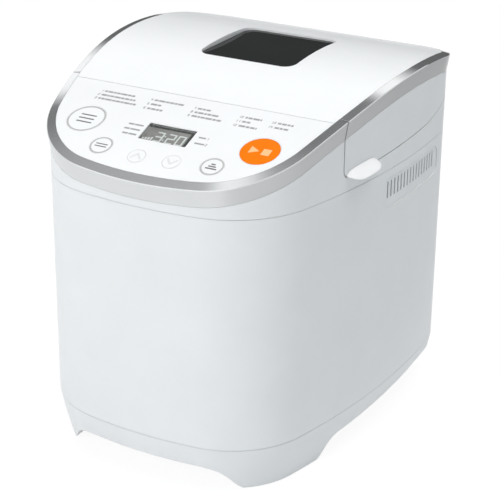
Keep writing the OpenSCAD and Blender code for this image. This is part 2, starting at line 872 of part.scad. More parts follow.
module window_glass() {
    color(glass_dark) round_block(window_w - 0.6, window_d - 0.6, window_r - 0.3,
        glass_z - glass_t, glass_z, window_at);
}

module window_gasket() {
    color(rubber_black) difference() {
        round_block(window_w - 0.8, window_d - 0.8, window_r - 0.4,
            ledge_z + seat_gap/2, ledge_z + gasket_t, window_at);
        round_block(window_w - 2*ledge_w + 0.6, window_d - 2*ledge_w + 0.6, window_r - ledge_w,
            0, body_h, window_at);
    }
}

// Steel liner: a flange round the chamber's mouth and a raised dome for the risen dough
liner_inset = wall + 0.5;
dome_w = 2*(pan_w/2 + 7 + bail_wire_r) + 8;
dome_d = chamber_d - 16;
dome_top = 251.2;
liner_window_w = 92;
liner_window_d = 72;

module lid_liner() {
    color(steel) difference() {
        union() {
            intersection() {
                block(liner_inset, liner_z, liner_z + liner_t);
                translate([-half_w, lid_y + wall + 0.5, 0])
                    cube([body_w, shoulder_y - lid_y - wall - 3.5, body_h]);
            }
            round_block(dome_w, dome_d, chamber_r, liner_z, dome_top, [0, chamber_y]);
        }
        round_block(dome_w - 2*liner_t, dome_d - 2*liner_t, chamber_r - liner_t,
            liner_z - 1, dome_top - liner_t, [0, chamber_y]);
        round_block(liner_window_w, liner_window_d, 8, 0, body_h, [0, chamber_y]);
        for (m = [-1, 1], y = boss_ys) translate([m*boss_x, y, 0])
            cylinder(r = screw_r + 0.3, h = body_h);
    }
}

module liner_glass() {
    color([0.7, 0.75, 0.74, 0.5]) round_block(liner_window_w + 10, liner_window_d + 10, 10,
        dome_top + seat_gap/2, dome_top + 3, [0, chamber_y]);
}

module lid_seal() {
    w = chamber_open_w + 2*collar_t;
    d = chamber_open_d + 2*collar_t;
    color([0.75, 0.74, 0.7]) difference() {
        round_block(w + 3, d + 3, chamber_r + collar_t + 1.5, liner_z - 0.7, liner_z - join,
            [0, chamber_y]);
        round_block(w - 5, d - 5, chamber_r + collar_t - 2.5, 0, body_h, [0, chamber_y]);
    }
}

screw_r = 1.5;
module liner_screws() {
    color(steel) for (m = [-1, 1], y = boss_ys) translate([m*boss_x, y, liner_z - 1.9]) {
        cylinder(r = 3, h = 1.8);
        cylinder(r = screw_r, h = 14);
    }
}

// Finger tab on the lid's lower edge: a lip that droops over the housing, thinning to both ends
tab_gap = 0.15;
tab_steps = 16;
tab_rise = 4.6;
tab_t = 2.4;
module lift_tab() {
    y0 = lid_y + lid_corner_r/2;
    color(gloss_white) loft([for (k = [0:tab_steps]) let (
        v = 1 - 2*k/tab_steps,
        y = y0 + tab_len*(1 - v)/2,
        s = sqrt(1 - 0.97*pow(v, 4)),
        x = right_point(side_angle(y, 0), 0)[0] + tab_gap,
        z = edge_z(y) + lid_edge_gap,
        top = z + 1.2 + (tab_rise - 1.2)*s,
        r = 1.2 + (tab_reach - 1.2)*s,
        low = z + 0.6 - (tab_drop + 0.6)*s*s,
        h = top - low,
        t = min(tab_t, r - 0.4))
        [for (p = [[0, z + 0.6], [0, top], [0.35*r, top - 0.25*h], [0.7*r, top - 0.56*h],
            [0.95*r, top - 0.8*h], [r, low + 0.1*h], [0.93*r, low], [r - t, low + 0.12*h],
            [max(0.4, 0.7*r - t), z + 0.1]])
            [x + p[0], y, p[1]]]]);
}

// Arms that reach from the lid's underside down to the hinge pins
hinge_arm_r = 7;
hinge_arm_t = 8;
hinge_pin_len = hinge_arm_w + 2*slot_gap + 2*cheek_t;
module lid_hinge_arms() {
    top = arch_z(hinge_y + hinge_arm_t/2) - lid_panel_t - join - deck_t - seat_gap;
    color(body_white) for (m = [-1, 1]) translate([m*hinge_arm_x - hinge_arm_w/2, 0, 0])
        difference() {
            union() {
                translate([0, hinge_y, hinge_z]) rotate([0, 90, 0])
                    cylinder(r = hinge_arm_r, h = hinge_arm_w);
                translate([0, hinge_y - hinge_arm_t/2, hinge_z])
                    cube([hinge_arm_w, hinge_arm_t, top - hinge_z]);
            }
            translate([-1, hinge_y, hinge_z]) rotate([0, 90, 0])
                cylinder(r = hinge_pin_r + pin_gap, h = hinge_arm_w + 2);
        }
}

// ================= Baking chamber =================
heater_r = 3.2;
heater_z = chamber_floor_z + sheet + 13;
heater_w = chamber_w - 20;
heater_d = chamber_d - 20;
heater_bend = chamber_r + 8;
tail_x = 14;
tail_bend = 10;
tail_len = 13;
sensor_at = [42, 130];

module oven_chamber() {
    z1 = deck_z - seat_gap;
    w = chamber_w + 2*sheet;
    d = chamber_d + 2*sheet;
    color(steel) difference() {
        union() {
            round_block(w, d, chamber_r + sheet, chamber_floor_z, z1, [0, chamber_y]);
            round_block(w + 14, d + 14, chamber_r + 7, z1 - 1.2, z1, [0, chamber_y]);
        }
        round_block(chamber_w, chamber_d, chamber_r, chamber_floor_z + sheet, z1 + 1,
            [0, chamber_y]);
        translate([0, chamber_y, 0]) cylinder(r = bearing_r + 0.5, h = z1 - 40);
        for (m = [-1, 1]) translate([m*tail_x, 0, heater_z]) rotate([90, 0, 0])
            cylinder(r = heater_r + 1.5, h = half_d);
        translate([sensor_at[0], 0, sensor_at[1]]) rotate([90, 0, 0])
            cylinder(r = 4.3, h = half_d);
    }
}

pan_base_z = chamber_floor_z + sheet + pan_floor_h;
foot_ring_r = 41;
foot_ring_t = 3;
seat_inner_r = foot_ring_r + 2.5;
seat_t = 3.5;

// Ring on the chamber's floor that holds the pan's foot
module pan_seat() {
    color(steel) translate([0, chamber_y, chamber_floor_z + sheet + seat_gap/2]) difference() {
        union() {
            cylinder(r = seat_inner_r + seat_t, h = 11);
            cylinder(r = seat_inner_r + seat_t + 6, h = 2);
        }
        translate([0, 0, 2]) cylinder(r = seat_inner_r, h = 12);
        translate([0, 0, -1]) cylinder(r = foot_ring_r - foot_ring_t - 2, h = 4);
    }
}

// Two leaf springs in the seat that press on the pan's foot
module seat_springs() {
    color(steel) for (a = [65, 245]) translate([0, chamber_y, chamber_floor_z + sheet + 2.6])
        rotate([0, 0, a]) rotate_extrude(angle = 50, $fn = 96)
            polygon([[foot_ring_r + 1.9, 0], [foot_ring_r + 2.3, 0], [foot_ring_r + 2.3, 8],
                [foot_ring_r + 1.9, 8], [foot_ring_r + 0.4, 4]]);
}

module bend(r, wire_r, a0, a1) {
    rotate([0, 0, a0]) rotate_extrude(angle = a1 - a0, $fn = 96)
        translate([r, 0]) circle(r = wire_r, $fn = 32);
}

module rod(p, q, r) {
    d = q - p;
    translate(p) rotate([0, 90 - asin(d[2]/norm(d)), atan2(d[1], d[0])]) cylinder(r = r, h = norm(d));
}

module heating_element() {
    y0 = chamber_y - heater_d/2;
    y1 = chamber_y + heater_d/2;
    c = heater_bend;
    color(dark_steel) for (m = [0, 1]) mirror([m, 0, 0]) translate([0, 0, heater_z]) {
        rod([tail_x, y0 - tail_bend - tail_len, 0], [tail_x, y0 - tail_bend, 0], heater_r);
        translate([tail_x + tail_bend, y0 - tail_bend, 0]) bend(tail_bend, heater_r, 90, 180);
        rod([tail_x + tail_bend, y0, 0], [heater_w/2 - c, y0, 0], heater_r);
        translate([heater_w/2 - c, y0 + c, 0]) bend(c, heater_r, -90, 0);
        rod([heater_w/2, y0 + c, 0], [heater_w/2, y1 - c, 0], heater_r);
        translate([heater_w/2 - c, y1 - c, 0]) bend(c, heater_r, 0, 90);
        rod([heater_w/2 - c, y1, 0], [-join, y1, 0], heater_r);
    }
}

module heater_terminals() {
    y = chamber_y - chamber_d/2 - sheet;
    color(ceramic) for (m = [-1, 1]) translate([m*tail_x, y - seat_gap, heater_z])
        rotate([90, 0, 0]) difference() {
            union() {
                cylinder(r = 7, h = 3);
                cylinder(r = 5.2, h = 6.5);
            }
            translate([0, 0, -1]) cylinder(r = heater_r + 0.15, h = 10);
        }
}

// Saddles that hold the element off the chamber's floor
module heater_clips() {
    z0 = chamber_floor_z + sheet + seat_gap/2;
    color(steel) for (x = [-1, 1], y = [-1, 1])
        translate([x*heater_w/4, chamber_y + y*heater_d/2, 0]) difference() {
            translate([-3, -4.6, z0]) cube([6, 9.2, heater_z - z0 + 0.5]);
            translate([-4, 0, heater_z]) rotate([0, 90, 0]) cylinder(r = heater_r + 0.2, h = 8);
            translate([-4, -3.4, z0 + 1.2]) cube([8, 6.8, heater_z - z0 - heater_r - 2.4]);
        }
}

module temperature_sensor() {
    y = chamber_y - chamber_d/2 - sheet;
    color(steel) translate([sensor_at[0], y - seat_gap, sensor_at[1]]) rotate([-90, 0, 0]) {
        cylinder(r = 4, h = 10);
        translate([0, 0, -6]) cylinder(r = 5, h = 6);
        translate([-5.5, -9, -1.2]) cube([11, 18, 1.2]);
    }
}

module thermal_fuse() {
    y = chamber_y - chamber_d/2 - sheet;
    color(ceramic) translate([-52, y - seat_gap - 3, 118]) {
        rotate([0, 90, 0]) cylinder(r = 3, h = 22);
        translate([-8, 0, 0]) rotate([0, 90, 0]) cylinder(r = 0.8, h = 38);
    }
}

// ================= Drive =================
pulley_z = floor_top + 3.5;
pulley_h = belt_w + 2;
bearing_r = 7;
bracket_z = chamber_floor_z - seat_gap - 2.5;
bracket_posts = [[-56, chamber_y - 12], [56, chamber_y - 12], [-56, chamber_y + 38],
    [56, chamber_y + 38]];
motor_y = motor_setback - half_d;
motor_x = 0;
motor_z = floor_top + 34;
motor_posts = [[-36, motor_y - 26], [36, motor_y - 26], [-36, motor_y + 26], [36, motor_y + 26]];

// Plate under the chamber that carries the kneading shaft's bearing, on posts from the floor
module bearing_bracket() {
    tube = bearing_r + 2.4;
    color(aluminium) difference() {
        union() {
            translate([0, chamber_y + 13, 0]) round_block(124, 66, 8, bracket_z, bracket_z + 2.5);
            translate([0, chamber_y, pulley_z + pulley_h + 2])
                cylinder(r = tube, h = bracket_z - pulley_z - pulley_h - 1);
            for (p = bracket_posts) translate([p[0], p[1], floor_top + seat_gap/2])
                cylinder(r = post_r, h = bracket_z - floor_top);
        }
        translate([0, chamber_y, 0]) cylinder(r = bearing_r + pin_gap, h = chamber_floor_z + 10);
        for (p = bracket_posts) translate([p[0], p[1], floor_top - 1])
            cylinder(r = screw_shank_r + 0.1, h = 12);
    }
}

module bearing_bush() {
    z0 = pulley_z + pulley_h + 2.2;
    color(brass) translate([0, chamber_y, z0]) difference() {
        cylinder(r = bearing_r, h = chamber_floor_z + sheet - z0);
        translate([0, 0, -1]) cylinder(r = shaft_r + pin_gap, h = 60);
    }
}

module drive_shaft() {
    color(steel) translate([0, chamber_y, pulley_z - 1])
        cylinder(r = shaft_r, h = dog_z - pulley_z + 5);
}

// A grooved pulley on its shaft: rim, web with lightening holes, and hub
module pulley(r, hub_r, holes) {
    grooves = 4;
    pitch = belt_w/grooves;
    difference() {
        rotate_extrude($fn = 128) difference() {
            union() {
                translate([shaft_r + pin_gap, 0]) square([r - shaft_r - pin_gap, pulley_h]);
                translate([shaft_r + pin_gap, 0]) square([hub_r - shaft_r, pulley_h + 1]);
            }
            for (i = [0:grooves - 1]) let (z = 1 + pitch*(i + 0.5))
                polygon([[r + 1, z - 1], [r - 1.2, z - 0.3], [r - 1.2, z + 0.3], [r + 1, z + 1]]);
            if (holes > 0) {
                translate([hub_r, pulley_h/2 + 2]) square([r - hub_r - 5, pulley_h]);
                translate([hub_r, -1]) square([r - hub_r - 5, pulley_h/2 - 1]);
            }
        }
        for (i = [0:holes - 1]) rotate([0, 0, (i + 0.5)*360/holes])
            translate([(r + hub_r)/2 - 2, 0, -1]) cylinder(r = (r - hub_r)/4, h = pulley_h + 3);
    }
}

module drive_pulley() {
    color(plastic_black) translate([0, chamber_y, pulley_z]) pulley(drive_pulley_r, 10, 6);
}

module motor_pulley() {
    color(steel) translate([motor_x, motor_y, pulley_z]) pulley(motor_pulley_r, motor_pulley_r - 1, 0);
}

belt_t = 1.6;
module belt_loop(extra) {
    hull() {
        translate([0, chamber_y]) circle(r = drive_pulley_r + extra, $fn = 96);
        translate([motor_x, motor_y]) circle(r = motor_pulley_r + extra, $fn = 48);
    }
}

module drive_belt() {
    color(rubber_black) translate([0, 0, pulley_z + 1]) linear_extrude(belt_w) difference() {
        belt_loop(0.3 + belt_t);
        belt_loop(0.3);
    }
}

// Dogs on the drive coupling push the wings of the pan's coupling
dog_z = chamber_floor_z + sheet + 1;
dog_h = 12;
dog_in = 10;
dog_out = 19;
dog_w = 8;
wing_w = 7;
wing_z = dog_z + 5;
wing_h = 7;
dog_angle = 43;

module drive_coupling() {
    color(steel) translate([0, chamber_y, dog_z]) {
        difference() {
            cylinder(r = dog_out + 1, h = 4);
            translate([0, 0, -1]) cylinder(r = shaft_r + pin_gap, h = 6);
        }
        for (a = [dog_angle, dog_angle + 180]) rotate([0, 0, a])
            translate([dog_in, -dog_w/2, 3]) cube([dog_out - dog_in, dog_w, dog_h - 3]);
    }
}

motor_boss_r = 9;
module motor_bracket() {
    z = motor_z - seat_gap - 2.5;
    color(steel) difference() {
        union() {
            translate([motor_x, motor_y, 0]) round_block(84, 64, 6, z, z + 2.5);
            for (p = motor_posts) translate([p[0], p[1], floor_top + seat_gap/2])
                cylinder(r = post_r, h = z - floor_top);
        }
        translate([motor_x, motor_y, 0]) cylinder(r = motor_boss_r + seat_gap, h = motor_z + 10);
        for (p = motor_posts) translate([p[0], p[1], floor_top - 1])
            cylinder(r = screw_shank_r + 0.1, h = 12);
    }
}

module motor_housing() {
    color(steel) translate([motor_x, motor_y, 0]) difference() {
        union() {
            translate([0, 0, motor_z]) cylinder(r = motor_r, h = motor_h);
            translate([0, 0, motor_z - 5]) cylinder(r = motor_boss_r, h = motor_h + 10);
        }
        cylinder(r = shaft_r + pin_gap, h = motor_z + motor_h + 20);
        for (i = [0:11]) rotate([0, 0, i*30]) translate([motor_r - 3, -3, motor_z + 8])
            cube([6, 6, motor_h - 16]);
    }
}

fan_z = motor_z + motor_h + 8;
module motor_shaft() {
    color(steel) translate([motor_x, motor_y, pulley_z - 1])
        cylinder(r = shaft_r, h = fan_z + 11 - pulley_z);
}

module motor_fan() {
    color(plastic_black) translate([motor_x, motor_y, fan_z]) difference() {
        union() {
            cylinder(r = 9, h = 9);
            cylinder(r = motor_r - 6, h = 1.4);
            for (i = [0:7]) rotate([0, 0, i*45]) translate([8, -0.7, 0])
                cube([motor_r - 16, 1.4, 8]);
        }
        translate([0, 0, -1]) cylinder(r = shaft_r + pin_gap, h = 12);
    }
}

module run_capacitor() {
    color(plastic_black) translate([-64, motor_y + 10, floor_top + seat_gap/2]) {
        cylinder(r = 15, h = 42);
        for (x = [-5, 3]) translate([x, -3, 42 - join]) cube([1.2, 6, 7]);
    }
}

module power_board() {
    color(board_green) translate([board_x - 0.8, board_y - board_w/2, floor_top + 2])
        cube([1.6, board_w, 82]);
}

module transformer() {
    color(dark_steel) translate([board_x + 0.8 + seat_gap/2, board_y - 8, floor_top + 12]) {
        cube([24, 28, 34]);
        translate([3, -4, 6]) cube([18, 36, 22]);
    }
}

module heater_relay() {
    color([0.15, 0.25, 0.5]) translate([board_x + 0.8 + seat_gap/2, board_y - 6, floor_top + 56])
        cube([15, 19, 15.5]);
}

module terminal_block() {
    color(ceramic) translate([gland_x + 14, half_d - 30, floor_top + seat_gap/2]) difference() {
        cube([34, 16, 18]);
        for (i = [0:2]) translate([6 + i*11, 8, 8]) cylinder(r = 2.5, h = 20);
    }
}

// ================= Bread pan =================
pan_top = pan_base_z + pan_h;
rim_w = 3;
rim_t = 1.6;
ear_t = 2.2;
pivot_z = pan_top + 3.6;
bush_hole_r = 9;

module bread_pan() {
    at = [0, chamber_y];
    color(pan_grey) difference() {
        union() {
            round_block(pan_w, pan_d, pan_r, pan_base_z - 2, pan_top, at);
            round_block(pan_w + 2*rim_w, pan_d + 2*rim_w, pan_r + rim_w, pan_top - rim_t, pan_top,
                at);
            translate([0, chamber_y, chamber_floor_z + sheet + 2.5])
                cylinder(r = foot_ring_r, h = pan_base_z - chamber_floor_z - sheet - 3);
            for (m = [-1, 1]) translate([m*(pan_w/2 + 0.2) + (m > 0 ? 0 : -ear_t), chamber_y - 7,
                pan_top - rim_t]) cube([ear_t, 14, pivot_z + 5 - pan_top + rim_t]);
        }
        round_block(pan_w - 2*pan_wall, pan_d - 2*pan_wall, pan_r - pan_wall, pan_base_z,
            pan_top + 0.01, at);
        translate([0, chamber_y, 0]) {
            cylinder(r = foot_ring_r - foot_ring_t, h = pan_base_z - 2);
            cylinder(r = bush_hole_r + pin_gap, h = pan_base_z + 1);
        }
        translate([-plan_reach/2, chamber_y, pivot_z]) rotate([0, 90, 0])
            cylinder(r = bail_wire_r + pin_gap, h = plan_reach);
    }
}

// Wire bail, stored folded to the rear
module pan_bail() {
    arm_x = pan_w/2 + 7;
    stub = 4;
    top_bend = 8;
    color(steel) for (m = [0, 1]) mirror([m, 0, 0]) translate([0, chamber_y, pivot_z]) {
        rod([pan_w/2 - 1, 0, 0], [arm_x - stub, 0, 0], bail_wire_r);
        translate([arm_x - stub, stub, 0]) bend(stub, bail_wire_r, -90, 0);
        rod([arm_x, stub, 0], [arm_x, bail_arm - top_bend, 0], bail_wire_r);
        translate([arm_x - top_bend, bail_arm - top_bend, 0]) bend(top_bend, bail_wire_r, 0, 90);
        rod([arm_x - top_bend, bail_arm, 0], [-join, bail_arm, 0], bail_wire_r);
    }
}

module pan_bush() {
    color(brass) translate([0, chamber_y, pan_base_z - 5]) difference() {
        union() {
            cylinder(r = bush_hole_r, h = 8);
            translate([0, 0, 5 + join]) cylinder(r = bush_hole_r + 3, h = 2);
        }
        translate([0, 0, -1]) cylinder(r = shaft_r + pin_gap, h = 12);
    }
}

paddle_z = pan_base_z + 4;
paddle_h = 26;
module pan_shaft() {
    color(steel) translate([0, chamber_y, wing_z]) cylinder(r = shaft_r, h = paddle_z + 20 - wing_z);
}

module pan_coupling() {
    color(steel) translate([0, chamber_y, wing_z]) difference() {
        union() {
            cylinder(r = 8, h = wing_h + 1);
            translate([-dog_out + 1, -wing_w/2, 0]) cube([2*dog_out - 2, wing_w, wing_h]);
        }
        translate([0, 0, -1]) cylinder(r = shaft_r + pin_gap, h = wing_h + 4);
    }
}

module kneading_paddle() {
    color(pan_grey) translate([0, chamber_y, paddle_z]) difference() {
        union() {
            cylinder(r = 8.5, h = 22);
            rotate([90, 0, 25]) translate([0, 0, -2]) linear_extrude(4)
                polygon([[0, 0], [38, 0], [42, 4], [40, 12], [30, 20], [14, paddle_h], [0, paddle_h]]);
        }
        translate([0, 0, -1]) cylinder(r = shaft_r + pin_gap, h = 22);
    }
}

base();
body_shell();
top_housing();
front_trim();
control_panel();
display_lens();
display_module();
panel_board();
tact_switches();
menu_key();
crust_key();
time_up_key();
time_down_key();
weight_key();
start_key();
foot_pads();
base_screws();
hinge_pins();
lid_shell();
lid_panel();
lid_trim();
lid_hinge_arms();
window_glass();
window_gasket();
lid_liner();
liner_glass();
lid_seal();
liner_screws();
lift_tab();
oven_chamber();
pan_seat();
seat_springs();
heating_element();
heater_terminals();
heater_clips();
temperature_sensor();
thermal_fuse();
bearing_bracket();
bearing_bush();
drive_shaft();
drive_coupling();
drive_pulley();
drive_belt();
motor_housing();
motor_shaft();
motor_pulley();
motor_fan();
motor_bracket();
run_capacitor();
power_board();
transformer();
heater_relay();
terminal_block();
cord_gland();
bread_pan();
pan_bail();
pan_bush();
pan_shaft();
pan_coupling();
kneading_paddle();
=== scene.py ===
import math

import bpy
from mathutils import Matrix, Vector


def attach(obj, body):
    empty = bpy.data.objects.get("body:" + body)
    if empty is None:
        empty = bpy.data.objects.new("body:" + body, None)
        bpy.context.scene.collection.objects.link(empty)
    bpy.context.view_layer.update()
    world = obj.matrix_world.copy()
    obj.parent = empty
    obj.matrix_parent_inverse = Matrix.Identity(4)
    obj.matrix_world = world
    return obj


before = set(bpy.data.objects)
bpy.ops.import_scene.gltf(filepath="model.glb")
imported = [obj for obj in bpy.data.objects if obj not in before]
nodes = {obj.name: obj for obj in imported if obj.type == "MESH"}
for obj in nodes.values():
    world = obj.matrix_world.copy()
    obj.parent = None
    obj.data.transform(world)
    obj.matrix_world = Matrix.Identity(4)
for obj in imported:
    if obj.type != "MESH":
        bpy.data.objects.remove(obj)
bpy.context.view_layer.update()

MM = 0.001
scene = bpy.context.scene
scene.view_settings.view_transform = "Standard"

# ================= Camera =================
EYE = Vector((0.52088, -0.93437, 0.59292))
TARGET = Vector((0.0, 0.0, 0.14609))
ROLL = math.radians(0.401)
SENSOR = 36.0
PICTURE = 500.0           # pixels across the photograph
FOCAL_PIXELS = 1540.3
CENTRE_PIXELS = (238.42, 222.50)    # where the camera's axis meets the photograph


def place_camera():
    data = bpy.data.cameras.new("camera")
    data.sensor_width = SENSOR
    data.lens = FOCAL_PIXELS / PICTURE * SENSOR
    data.shift_x = (PICTURE / 2 - CENTRE_PIXELS[0]) / PICTURE
    data.shift_y = (CENTRE_PIXELS[1] - PICTURE / 2) / PICTURE
    data.clip_start = 0.05
    data.clip_end = 60.0
    camera = bpy.data.objects.new("camera", data)
    turn = (TARGET - EYE).to_track_quat("-Z", "Y").to_matrix() @ Matrix.Rotation(ROLL, 3, "Z")
    camera.rotation_mode = "QUATERNION"
    camera.rotation_quaternion = turn.to_quaternion()
    camera.location = EYE
    scene.collection.objects.link(camera)
    scene.camera = camera


place_camera()


# ================= Materials =================
CLOUD_DETAIL, GRAIN_DETAIL = 4.0, 2.0
RAMP_ENDS = (0.3, 0.7)              # the part of the noise over which the colour changes
RELIEF_DEPTH = 0.2 * MM
EDGE_SAMPLES = 4
SMOOTHEST, ROUGHEST = 0.02, 1.0
UPWARD = (0.35, 0.6)                # how far a normal rises where the polish starts and is full


def surface(name, low, high, rough, metallic=0.0, scale=60.0, bump=0.05, bump_scale=900.0,
            stretch=(1, 1, 1), edge=0.0, specular=0.5, coat=0.0, coat_rough=0.1,
            transmission=0.0, ior=1.5, rough_spread=0.05, polish=None):
    """A surface whose colour and roughness wander between two values, with fine relief.

    scale, bump_scale and stretch are for the noise, in the object's metres. edge rounds the sharp
    edges by shading, in metres. polish is a second roughness, for faces that look up.
    """
    material = bpy.data.materials.new(name)
    material.use_nodes = True
    make, link = material.node_tree.nodes.new, material.node_tree.links.new
    shader = material.node_tree.nodes["Principled BSDF"]
    coord = make("ShaderNodeTexCoord")
    place = make("ShaderNodeMapping")
    place.inputs["Scale"].default_value = stretch
    link(coord.outputs["Object"], place.inputs["Vector"])

    cloud = make("ShaderNodeTexNoise")
    cloud.inputs["Scale"].default_value = scale
    cloud.inputs["Detail"].default_value = CLOUD_DETAIL
    link(place.outputs["Vector"], cloud.inputs["Vector"])
    ramp = make("ShaderNodeValToRGB")
    for end, position, colour in zip(ramp.color_ramp.elements, RAMP_ENDS, (low, high)):
        end.position = position
        end.color = (*colour, 1)
    link(cloud.outputs["Fac"], ramp.inputs["Fac"])
    link(ramp.outputs["Color"], shader.inputs["Base Color"])

    spread = make("ShaderNodeMapRange")
    spread.inputs["To Min"].default_value = max(rough - rough_spread, SMOOTHEST)
    spread.inputs["To Max"].default_value = min(rough + rough_spread, ROUGHEST)
    link(cloud.outputs["Fac"], spread.inputs["Value"])
    roughness = spread.outputs["Result"]
    if polish is not None:
        facing = make("ShaderNodeSeparateXYZ")
        link(coord.outputs["Normal"], facing.inputs["Vector"])
        upward = make("ShaderNodeMapRange")
        upward.inputs["From Min"].default_value = UPWARD[0]
        upward.inputs["From Max"].default_value = UPWARD[1]
        upward.inputs["To Min"].default_value = 1.0
        upward.inputs["To Max"].default_value = polish / rough
        link(facing.outputs["Z"], upward.inputs["Value"])
        product = make("ShaderNodeMath")
        product.operation = "MULTIPLY"
        link(roughness, product.inputs[0])
        link(upward.outputs["Result"], product.inputs[1])
        roughness = product.outputs["Value"]
    link(roughness, shader.inputs["Roughness"])

    grain = make("ShaderNodeTexNoise")
    grain.inputs["Scale"].default_value = bump_scale
    grain.inputs["Detail"].default_value = GRAIN_DETAIL
    link(place.outputs["Vector"], grain.inputs["Vector"])
    relief = make("ShaderNodeBump")
    relief.inputs["Strength"].default_value = bump
    relief.inputs["Distance"].default_value = RELIEF_DEPTH
    link(grain.outputs["Fac"], relief.inputs["Height"])
    if edge > 0:
        rounded = make("ShaderNodeBevel")
        rounded.samples = EDGE_SAMPLES
        rounded.inputs["Radius"].default_value = edge
        link(rounded.outputs["Normal"], relief.inputs["Normal"])
    link(relief.outputs["Normal"], shader.inputs["Normal"])

    shader.inputs["Metallic"].default_value = metallic
    shader.inputs["Specular IOR Level"].default_value = specular
    shader.inputs["IOR"].default_value = ior
    shader.inputs["Coat Weight"].default_value = coat
    shader.inputs["Coat Roughness"].default_value = coat_rough
    shader.inputs["Transmission Weight"].default_value = transmission
    return material


def grey(value, tint=(1, 1, 1)):
    return tuple(value * t for t in tint)


COOL = (0.972, 0.992, 1.0)
FAINTLY_COOL = (0.985, 0.994, 1.0)
SILVER_TINT = (0.98, 1, 1.01)
body_white = surface("body_white", grey(0.80, COOL), grey(0.825, COOL), 0.36, edge=0.0006, scale=25,
                     bump=0.03)
gloss_white = surface("gloss_white", grey(0.86, FAINTLY_COOL), grey(0.88, FAINTLY_COOL), 0.15,
                      edge=0.0005, scale=20, bump=0.01, rough_spread=0.02, specular=0.22)
lid_white = surface("lid_white", grey(0.86, FAINTLY_COOL), grey(0.88, FAINTLY_COOL), 0.24,
                    edge=0.0005, scale=20, bump=0.01, rough_spread=0.02, specular=0.1)
orange = surface("orange", (0.86, 0.185, 0.001), (0.89, 0.2, 0.002), 0.45, edge=0.0004, scale=120,
                 bump=0.03, specular=0.05)
silver = surface("silver", grey(0.70, SILVER_TINT), grey(0.715, SILVER_TINT), 0.3, metallic=0.9,
                 edge=0.00025, scale=30, bump=0.0, rough_spread=0.01, polish=0.1)
# The tab's white is lighter than the lid's and body's: painted light, standing in for the light its
# upward faces catch
tab_white_painted_light = surface("tab_white_painted_light", grey(0.97), grey(0.98), 0.3, edge=0.0004, scale=60, bump=0.02,
                    coat=1.0, coat_rough=0.3)
window_dark = surface("window_dark", (0.012, 0.014, 0.014), (0.017, 0.02, 0.02), 0.05, scale=14,
                      bump=0.0, specular=0.22, rough_spread=0.01)
lens_clear = surface("lens_clear", (0.75, 0.78, 0.77), (0.8, 0.83, 0.82), 0.06, scale=80, bump=0.0,
                     transmission=1.0, ior=1.2, specular=0.1, rough_spread=0.01)
lcd_grey = surface("lcd_grey", (0.17, 0.175, 0.17), (0.2, 0.205, 0.2), 0.5, scale=500, bump=0.02)
lcd_pale = surface("lcd_pale", (0.29, 0.265, 0.265), (0.35, 0.325, 0.32), 0.5, scale=500, bump=0.02)
# Near-black for the band along the display's top and right edges: painted shade, standing in for
# the recess's shadow
lcd_painted_shade = surface("lcd_painted_shade", grey(0.025), grey(0.035), 0.5, scale=500, bump=0.0)
board = surface("board", (0.012, 0.085, 0.03), (0.02, 0.12, 0.045), 0.4, scale=260, bump=0.2,
                bump_scale=500)
black_plastic = surface("black_plastic", grey(0.014), grey(0.022), 0.45, scale=90, bump=0.1)
rubber = surface("rubber", grey(0.012), grey(0.02), 0.75, scale=160, bump=0.3, bump_scale=1500)
silicone = surface("silicone", (0.52, 0.5, 0.45), (0.58, 0.56, 0.5), 0.55, scale=120, bump=0.1)
steel = surface("steel", grey(0.5), grey(0.6), 0.32, metallic=1.0, scale=30, stretch=(1, 1, 14),
                bump=0.12, bump_scale=400, edge=0.0002)
liner_steel = surface("liner_steel", grey(0.5), grey(0.62), 0.3, metallic=1.0, scale=26,
                      stretch=(1, 12, 1), bump=0.1, bump_scale=350, edge=0.0003)
dark_steel = surface("dark_steel", grey(0.06), grey(0.1), 0.5, metallic=0.6, scale=140, bump=0.25,
                     bump_scale=700)
ceramic = surface("ceramic", (0.72, 0.69, 0.6), (0.8, 0.77, 0.68), 0.5, scale=220, bump=0.15)
brass = surface("brass", (0.62, 0.4, 0.12), (0.72, 0.48, 0.17), 0.3, metallic=1.0, scale=150,
                bump=0.1)
cast_alu = surface("cast_alu", grey(0.42), grey(0.54), 0.5, metallic=1.0, scale=110, bump=0.4,
                   bump_scale=600)
non_stick = surface("non_stick", grey(0.035), grey(0.055), 0.42, metallic=0.2, scale=240, bump=0.25,
                    bump_scale=1400, edge=0.0003)
relay_blue = surface("relay_blue", (0.02, 0.06, 0.22), (0.03, 0.08, 0.27), 0.4, scale=90, bump=0.05)
pane_clear = surface("pane_clear", (0.7, 0.76, 0.74), (0.75, 0.8, 0.78), 0.04, scale=20, bump=0.0,
                     transmission=1.0, rough_spread=0.01)
ink = surface("ink", grey(0.15), grey(0.19), 0.5, scale=700, bump=0.0)
list_ink = surface("list_ink", grey(0.31), grey(0.37), 0.5, scale=700, bump=0.0)
pale_ink = surface("pale_ink", grey(0.68), grey(0.74), 0.5, scale=700, bump=0.0)
ring_ink = surface("ring_ink", grey(0.44), grey(0.50), 0.45, scale=500, bump=0.0)
orange_ink = surface("orange_ink", (1.0, 0.50, 0.20), (1.0, 0.55, 0.26), 0.4, scale=500, bump=0.0)
segment = surface("segment", grey(0.85), grey(0.92), 0.5, scale=700, bump=0.0)

